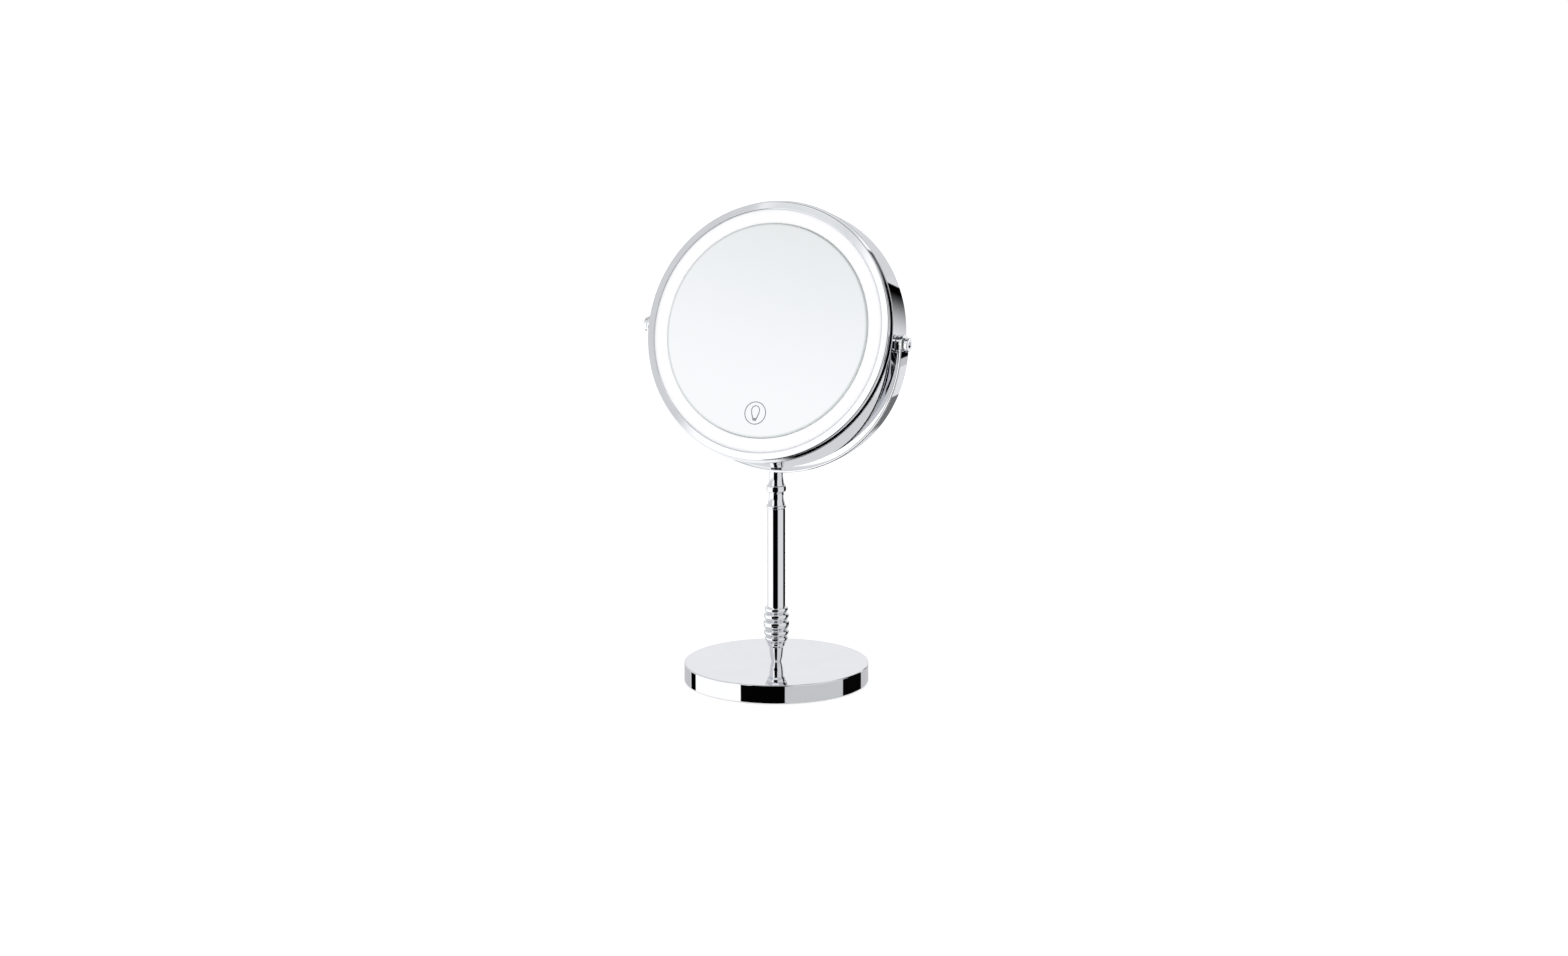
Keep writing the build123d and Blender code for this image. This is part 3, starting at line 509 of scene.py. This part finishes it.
def settle(piece):
    """Turns what the modifiers make into the piece's own plain mesh."""
    ready = piece.evaluated_get(bpy.context.evaluated_depsgraph_get())
    mesh = bpy.data.meshes.new_from_object(ready)
    piece.modifiers.clear()
    piece.data = mesh


def millimetres(node):
    """The lowest height, the highest height and the radius of a turned CAD node on the stem."""
    low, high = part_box(node)
    return low.z / MM, high.z / MM, high.x / MM


def base_cover(chrome):
    bottom, top, radius = millimetres("base_cover")
    inner = radius - cover_skin
    outline = rounded((
        (cover_bore, top, 0),
        (radius, top, cover_edge_round),
        (radius, bottom, cover_foot_round),
        (inner, bottom, cover_foot_round),
        (inner, top - cover_skin, 0),
        (cover_bore, top - cover_skin, 0),
    ))
    return turned("base_cover", "stand", outline, [chrome], steps=wide_steps)


def stem_foot(chrome):
    bottom, top, _ = millimetres("stem_foot")
    side = bowed((foot_bottom_radius, bottom), (foot_top_radius, top), foot_swell)
    outline = side + [Vector((rod_bore, top)), Vector((rod_bore, bottom))]
    return turned("stem_foot", "stand", outline, [chrome])


def stem_beehive(chrome):
    """Six cup-shaped rings, one above the other, and the spigot that the tube sits on."""
    bottom, top, _ = millimetres("stem_beehive")
    corners = [(rod_bore, bottom, 0)]
    low = bottom
    for waist, radius, height in zip(ring_waists, ring_radii, ring_heights):
        high = low + height
        corners += [
            (waist, low, 0),
            (radius, low + ring_slope * height, ring_bulge * height),
            (radius, high, ring_edge_round),
        ]
        low = high
    corners += [(spigot_radius, low, 0), (spigot_radius, top, 0), (rod_bore, top, 0)]
    return turned("stem_beehive", "stand", rounded(corners), [chrome])


def stem_neck(chrome):
    """Thin ring, hollow waist and collar between the tube and the bell."""
    bottom, top, _ = millimetres("stem_neck")
    ring_bottom = bottom + spigot_length
    ring_top = ring_bottom + neck_ring_height
    collar_bottom = top - neck_collar_height
    ring = rounded((
        (rod_bore, ring_bottom, 0),
        (neck_ring_radius, ring_bottom, neck_edge_round),
        (neck_ring_radius, ring_top, neck_edge_round),
        (rod_bore, ring_top, 0),
    ))
    collar = rounded((
        (rod_bore, collar_bottom, 0),
        (neck_collar_radius, collar_bottom, neck_edge_round),
        (neck_collar_radius, top, neck_edge_round),
        (rod_bore, top, 0),
    ))
    waist = bowed((neck_shoulder_radius, ring_top), (neck_waist_radius, collar_bottom), -neck_hollow)
    spigot = [
        Vector((rod_bore, bottom)),
        Vector((spigot_radius, bottom)),
        Vector((spigot_radius, ring_bottom)),
    ]
    outline = spigot + ring[1:-1] + waist + collar[1:]
    return turned("stem_neck", "stand", outline, [chrome])


def bezel(node, place, chrome):
    """A cap ring whose face slopes back to a rounded outer edge, with its skirt inside the drum."""
    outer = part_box(node)[1].x / MM
    inner = outer - bezel_width
    outline = rounded((
        (inner, bezel_face, bezel_inner_round),
        (outer, bezel_face - bezel_fall, bezel_round),
        (outer, bezel_seam, 0),
        (bezel_skirt_radius, bezel_seam, 0),
        (bezel_skirt_radius, bezel_foot, 0),
        (bezel_skirt_radius - bezel_skirt, bezel_foot, 0),
        (bezel_skirt_radius - bezel_skirt, bezel_face - bezel_lip, 0),
        (inner, bezel_face - bezel_lip, 0),
    ))
    return turned(node, "head", outline, [chrome], steps=wide_steps, place=place)


def light_ring(opal):
    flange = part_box("light_ring")[1].x / MM
    outline = rounded((
        (light_inner, light_face, light_edge_round),
        (light_outer, light_face, light_edge_round / 2),
        (light_outer, bezel_face - bezel_lip, 0),
        (flange, bezel_face - bezel_lip, 0),
        (flange, carrier_face, 0),
        (light_inner, carrier_face, 0),
    ))
    return turned("light_ring", "head", outline, [opal], steps=wide_steps, place=to_front)


def front_glass(silver, edge):
    """Flat glass with a ground rim: the first stretches of its outline are the bevel and the rim."""
    outline = [
        Vector((glass_radius - glass_bevel, glass_face)),
        Vector((glass_radius, glass_face - glass_bevel)),
        Vector((glass_radius, glass_back)),
        Vector((0, glass_back)),
        Vector((0, glass_face)),
    ]
    return turned(
        "front_glass", "head", outline, [silver, edge], steps=wide_steps, place=to_front,
        finish_of=lambda index: 1 if index < 2 else 0,
    )


def rear_glass(silver, edge):
    """Concave glass: both faces follow one sphere, and the rim between them is ground."""
    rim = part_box("rear_glass")[1].x / MM
    curve = (rim**2 + rear_sag**2) / (2 * rear_sag)
    face = []
    for step in range(rear_facets + 1):
        radius = rim * step / rear_facets
        face.append(Vector((radius, rear_rim - rear_sag + curve - math.sqrt(curve**2 - radius**2))))
    back = [Vector((point.x, point.y - rear_thickness)) for point in reversed(face)]
    return turned(
        "rear_glass", "head", face + back, [silver, edge], steps=wide_steps, place=to_rear,
        finish_of=lambda index: 1 if index == rear_facets else 0,
    )


# ---- Diodes ----
def diode_tree(package, phosphor):
    """Diodes evenly spaced round a circle, each a package with a round window on top."""
    tree = bpy.data.node_groups.new("diode_row", "GeometryNodeTree")
    tree.is_modifier = True
    sizes = (
        ("Count", "NodeSocketInt", diode_count),
        ("Ring Radius", "NodeSocketFloat", led_ring * MM),
        ("Across", "NodeSocketFloat", diode_across * MM),
        ("Along", "NodeSocketFloat", diode_along * MM),
        ("Height", "NodeSocketFloat", diode_height * MM),
        ("Window Radius", "NodeSocketFloat", diode_window * MM),
        ("Window Proud", "NodeSocketFloat", diode_window_proud * MM),
    )
    for name, kind, value in sizes:
        socket = tree.interface.new_socket(name, in_out="INPUT", socket_type=kind)
        socket.default_value = value
    tree.interface.new_socket("Geometry", in_out="OUTPUT", socket_type="NodeSocketGeometry")
    given = add(tree, "NodeGroupInput").outputs
    body_height = add(
        tree, "ShaderNodeMath", {0: given["Height"], 1: given["Window Proud"]}, operation="SUBTRACT"
    ).outputs[0]
    half = add(tree, "ShaderNodeMath", {0: body_height}, {1: 0.5}, operation="MULTIPLY").outputs[0]
    middle = add(tree, "ShaderNodeMath", {0: given["Height"]}, {1: 0.5}, operation="MULTIPLY").outputs[0]
    size = add(
        tree, "ShaderNodeCombineXYZ", {"X": given["Across"], "Y": given["Along"], "Z": body_height}
    )
    cube = add(tree, "GeometryNodeMeshCube", {"Size": size.outputs[0]})
    lift = add(tree, "ShaderNodeCombineXYZ", {"Z": half})
    box = add(tree, "GeometryNodeTransform", {"Geometry": cube.outputs[0], "Translation": lift.outputs[0]})
    disc = add(
        tree, "GeometryNodeMeshCylinder", {"Radius": given["Window Radius"], "Depth": given["Height"]},
        {"Vertices": diode_window_sides},
    )
    rise = add(tree, "ShaderNodeCombineXYZ", {"Z": middle})
    window = add(tree, "GeometryNodeTransform", {"Geometry": disc.outputs[0], "Translation": rise.outputs[0]})
    diode = add(tree, "GeometryNodeJoinGeometry", {"Geometry": box.outputs[0]})
    tree.links.new(window.outputs[0], diode.inputs[0])
    circle = add(
        tree, "GeometryNodeMeshCircle", {"Vertices": given["Count"], "Radius": given["Ring Radius"]}
    )
    point = add(tree, "GeometryNodeInputPosition").outputs[0]
    outward = add(tree, "FunctionNodeAlignRotationToVector", {"Vector": point}, axis="X")
    row = add(
        tree, "GeometryNodeInstanceOnPoints",
        {"Points": circle.outputs[0], "Instance": diode.outputs[0], "Rotation": outward.outputs[0]},
    )
    real = add(tree, "GeometryNodeRealizeInstances", {"Geometry": row.outputs[0]})
    high = add(
        tree, "ShaderNodeSeparateXYZ", {0: add(tree, "GeometryNodeInputPosition").outputs[0]}
    ).outputs["Z"]
    on_top = add(tree, "FunctionNodeCompare", {0: high, 1: body_height}, operation="GREATER_THAN")
    cased = add(tree, "GeometryNodeSetMaterial", {"Geometry": real.outputs[0]}, {"Material": package})
    poured = add(
        tree, "GeometryNodeSetMaterial", {"Geometry": cased.outputs[0], "Selection": on_top.outputs[0]},
        {"Material": phosphor},
    )
    add(tree, "NodeGroupOutput", {"Geometry": poured.outputs[0]})
    return tree


def diodes(package, phosphor):
    """The row of diodes on the ring-shaped board, looking forward through the opal ring."""
    row = bpy.data.objects.new("diode_row", bpy.data.meshes.new("diode_row"))
    bpy.context.collection.objects.link(row)
    row.modifiers.new("diode_row", "NODES").node_group = diode_tree(package, phosphor)
    settle(row)
    row.data.transform(to_front @ Matrix.Translation((0, 0, led_board_face * MM)))
    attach(row, "head")
    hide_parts("led_chips")


# ---- Studio ----
def studio():
    """White tent with dark flags: each card covers part of the sky, given by azimuth and elevation.

    Azimuth 0 is straight in front of the stand and grows towards its right, in degrees. Each side of a
    card is an angle and how softly it ends, and a later card lies over an earlier one."""
    world = bpy.data.worlds.new("studio")
    bpy.context.scene.world = world
    world.use_nodes = True
    tree = world.node_tree
    tree.nodes.clear()
    parts = add(tree, "ShaderNodeSeparateXYZ", {0: add(tree, "ShaderNodeTexCoord").outputs["Generated"]})
    forward = add(tree, "ShaderNodeMath", {0: parts.outputs["Y"]}, {1: -1.0}, operation="MULTIPLY")
    turn = add(tree, "ShaderNodeMath", {0: parts.outputs["X"], 1: forward.outputs[0]}, operation="ARCTAN2")
    rise = add(tree, "ShaderNodeMath", {0: parts.outputs["Z"]}, operation="ARCSINE")
    azimuth = add(tree, "ShaderNodeMath", {0: turn.outputs[0]}, operation="DEGREES").outputs[0]
    elevation = add(tree, "ShaderNodeMath", {0: rise.outputs[0]}, operation="DEGREES").outputs[0]
    below = add(tree, "ShaderNodeRGB").outputs[0]
    below.default_value = linear("#CDCED0")
    start = (-200, 1)
    end = (200, 1)
    cards = (
        ("#2C2C2E", start, end, (64, 3), end),
        ("#3A3A3C", start, end, start, (-47, 4)),
        ("#FFFFFF", (-34, 2), (58, 2), (-20, 6), (61, 3)),
        ("#F0F0F1", (-33, 2), (-16, 3), (17, 3), (40, 4)),
        ("#D9DBDB", (-33, 2), (-16, 3), (24.2, 2.2), (40, 4)),
        ("#050505", (-8, 1), (151, 3), start, (45, 5)),
        ("#D6D7D8", (40, 4), (118, 4), start, (45, 5)),
        ("#F2F2F3", (151, 2), (170, 8), (-16, 1), (12, 3)),
        ("#020202", (162, 8), (172.5, 0.3), (-9, 3), (14, 3)),
        ("#DDDDE0", (150, 1), (171.5, 0.3), (-30, 2), (-16.5, 0.3)),
        ("#6C6C6E", (171.5, 0.3), end, (-30, 2), (-18, 1)),
        ("#6C6C6E", start, (-172, 3), (-30, 2), (-18, 1)),
        ("#BDBDBF", start, end, (-17, 0.4), (-11.8, 0.3)),
        ("#FFFFFF", (-110, 4), (-21, 0.3), start, (-3, 3)),
        ("#020202", (-110, 0.5), (-97, 0.5), (-17, 0.4), (-14.6, 0.2)),
        ("#020202", (-21, 0.5), (35, 0.5), start, (-14.6, 0.2)),
        ("#020202", (-21, 0.5), (45, 4), (-14.6, 0.2), (2, 3)),
        ("#C0C1C2", (35, 0.5), (116, 0.5), (-20, 1), (-14.6, 0.2)),
        ("#D6D7D8", (50, 6), (124, 1), (-14.6, 0.2), (-3, 3)),
        ("#060606", (116, 0.5), (157, 0.5), (-17, 0.4), (-14.6, 0.2)),
        ("#060606", (124, 1), end, (-14.6, 0.2), (-11.8, 0.3)),
        ("#060606", start, (-150, 2), (-14.6, 0.2), (-11.8, 0.3)),
        ("#E3E3E5", start, (-140, 2), (11, 1), (20, 1)),
    )
    for colour, left, right, low, high in cards:
        cover = None
        sides = (
            (azimuth, left, 0, 1), (azimuth, right, 1, 0),
            (elevation, low, 0, 1), (elevation, high, 1, 0),
        )
        for angle, (place, soft), before, after in sides:
            side = add(
                tree, "ShaderNodeMapRange", {"Value": angle},
                {"From Min": place - soft, "From Max": place + soft, "To Min": before, "To Max": after},
                interpolation_type="SMOOTHSTEP",
            ).outputs[0]
            if cover:
                side = add(tree, "ShaderNodeMath", {0: cover, 1: side}, operation="MULTIPLY").outputs[0]
            cover = side
        card = add(tree, "ShaderNodeMix", {0: cover, 6: below}, {7: linear(colour)}, data_type="RGBA")
        below = card.outputs[2]
    # The tent itself looks white to the camera: the flags show only in the polished surfaces.
    direct = add(tree, "ShaderNodeLightPath").outputs["Is Camera Ray"]
    tent = add(tree, "ShaderNodeMix", {0: direct, 6: below}, {7: (1, 1, 1, 1)}, data_type="RGBA")
    light = add(tree, "ShaderNodeBackground", {"Color": tent.outputs[2]}, {"Strength": tent_strength})
    add(tree, "ShaderNodeOutputWorld", {"Surface": light.outputs[0]})


def camera():
    view = bpy.data.objects.new("camera", bpy.data.cameras.new("camera"))
    view.data.lens = lens
    view.data.sensor_width = sensor
    view.location = camera_place
    view.rotation_euler = (math.radians(90 - camera_down), 0, math.radians(camera_turn))
    bpy.context.collection.objects.link(view)
    bpy.context.scene.camera = view


def floor():
    """A plain sweep of matt white paper. It stays out of the chrome, which mirrors the tent alone."""
    size = paper_half_width
    mesh = bpy.data.meshes.new("floor")
    corners = [(-size, -size, 0), (size, -size, 0), (size, size, 0), (-size, size, 0)]
    mesh.from_pydata(corners, [], [(0, 1, 2, 3)])
    ground = bpy.data.objects.new("floor", mesh)
    bpy.context.collection.objects.link(ground)
    made, tree, shader, place = material("matt_white_paper")
    mottle(tree, shader, place, 3.0, ("#F1F1F1", "#F3F3F3"), (0.88, 0.92))
    shader.inputs["Emission Color"].default_value = (1, 1, 1, 1)
    shader.inputs["Emission Strength"].default_value = paper_glow
    mesh.materials.append(made)
    ground.visible_glossy = False


def finish_nodes():
    """Gives every CAD node its material, and stands the turned pieces and the diodes in place of theirs."""
    chrome = bright_chrome_plate()
    plated = chrome_plated_abs()
    steel = zinc_plated_steel()
    edge = ground_glass_edge()
    opal = opal_acrylic()
    silver = silvered_float_glass("silvered_float_glass", glass_radius)
    curved_silver = silvered_float_glass("silvered_curved_glass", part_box("rear_glass")[1].x / MM)
    white = textured_abs("white_abs", ("#DCDCD9", "#E8E8E5"))
    black = textured_abs("black_abs", ("#121213", "#1E1E20"))
    tape = acrylic_foam_tape()
    green_board = solder_mask_board("green_fr4_board", "#1B4A30", "#2E6B48")
    finishes = {
        "base_weight": painted_cast_iron(),
        "base_plate": black,
        "base_pad": foam_rubber(),
        "base_screws": steel,
        "tie_rod": steel,
        "tie_rod_washer": steel,
        "tie_rod_nut": steel,
        "stem_tube": chrome,
        "stem_bell": chrome,
        "yoke": chrome,
        "yoke_screw": black_nickel_plate(),
        "drum_band": plated,
        "inner_frame": glass_filled_nylon(),
        "pivot_inserts": turned_brass(),
        "pivot_bushes": chrome,
        "pivot_washers": natural_nylon(),
        "pivot_bolts": chrome,
        "front_carrier": white,
        "front_glass_tape": tape,
        "front_screws": steel,
        "led_board": solder_mask_board("white_fr4_board", "#E9E9E5", "#F4F4F1"),
        "touch_pad": green_board,
        "touch_icon": screen_printed_ink(),
        "touch_lead": pvc_wire("black_pvc_wire", ("#19191A", "#232325")),
        "rear_glass_tape": tape,
        "rear_carrier": white,
        "rear_screws": steel,
        "control_board": green_board,
        "board_parts": moulded_epoxy(),
        "board_screws": steel,
        "charge_socket": tin_plated_steel(),
        "battery_cell": shrink_sleeve(),
        "battery_tray": black,
        "battery_leads": pvc_wire("red_pvc_wire", ("#8F1612", "#A31D18")),
        "led_leads": pvc_wire("grey_pvc_wire", ("#2A2A2C", "#353538")),
    }
    for node, finish in finishes.items():
        slots = frame["nodes"][node].data.materials
        slots.clear()
        slots.append(finish)
    base_cover(chrome)
    stem_foot(chrome)
    stem_beehive(chrome)
    stem_neck(chrome)
    bezel("front_bezel", to_front, plated)
    bezel("rear_bezel", to_rear, plated)
    light_ring(opal)
    front_glass(silver, edge)
    rear_glass(curved_silver, edge)
    diodes(white_ppa(), phosphor_silicone())


finish_nodes()
camera()
studio()
floor()
bpy.context.scene.view_settings.view_transform = "Standard"
